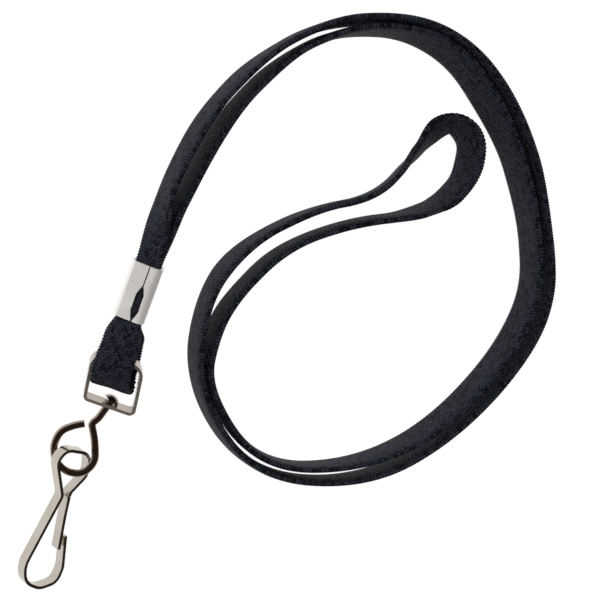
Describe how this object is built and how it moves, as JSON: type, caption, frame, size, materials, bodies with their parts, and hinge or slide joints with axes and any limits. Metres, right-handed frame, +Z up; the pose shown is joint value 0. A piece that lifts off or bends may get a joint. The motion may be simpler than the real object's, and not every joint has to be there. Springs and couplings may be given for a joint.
{
  "type": "lanyard",
  "caption": "Neck lanyard of flat braided strap, its ends held in a folded metal crimp, with a short end loop that carries a stirrup, a wire swivel eye and a bent spring clip.",
  "frame": {"origin": "bottom centre of the hardware's box: the short strap loop, crimp, stirrup, eye and clip, without the neck loop", "axes": "+Y along the hardware, from the hook of the clip to the crimp, +Z up from the surface it lies on"},
  "size_m": [0.1063, 0.1585, 0.0111],
  "materials": {
    "braid": "flat tubular braid, near black, slightly shiny yarn",
    "nickel": "bright nickel plate"
  },
  "bodies": {
    "strap": {"strap_neck_loop": "braid", "strap_hook_loop": "braid", "crimp_clamp": "nickel"},
    "stirrup": {"stirrup": "nickel"},
    "eye": {"swivel_eye": "nickel"},
    "clip": {"clip_body": "nickel"},
    "gate": {"clip_gate": "nickel"}
  },
  "joints": [
    {"name": "stirrup_swing", "type": "hinge", "parent": "strap", "child": "stirrup", "pos_m": [-0.00066, 0.0183, 0.00547], "axis": [0.9848, -0.0331, 0.1705], "range_deg": [-60, 60]},
    {"name": "eye_spin", "type": "hinge", "parent": "stirrup", "child": "eye", "pos_m": [0.00175, 0.00604, 0.00352], "axis": [-0.2924, -0.9563, 0], "continuous": true},
    {"name": "clip_swing", "type": "hinge", "parent": "eye", "child": "clip", "pos_m": [-0.00413, -0.01192, 0.00337], "axis": [-0.853, 0.3654, -0.3727], "range_deg": [-4, 50]},
    {"name": "gate_open", "type": "hinge", "parent": "clip", "child": "gate", "pos_m": [-0.00054, -0.01839, 0.00362], "axis": [-0.3409, -0.028, -0.9397], "range_deg": [0, 14], "stiffness_Nm_per_rad": 0.05, "springref_deg": -2.86}
  ]
}
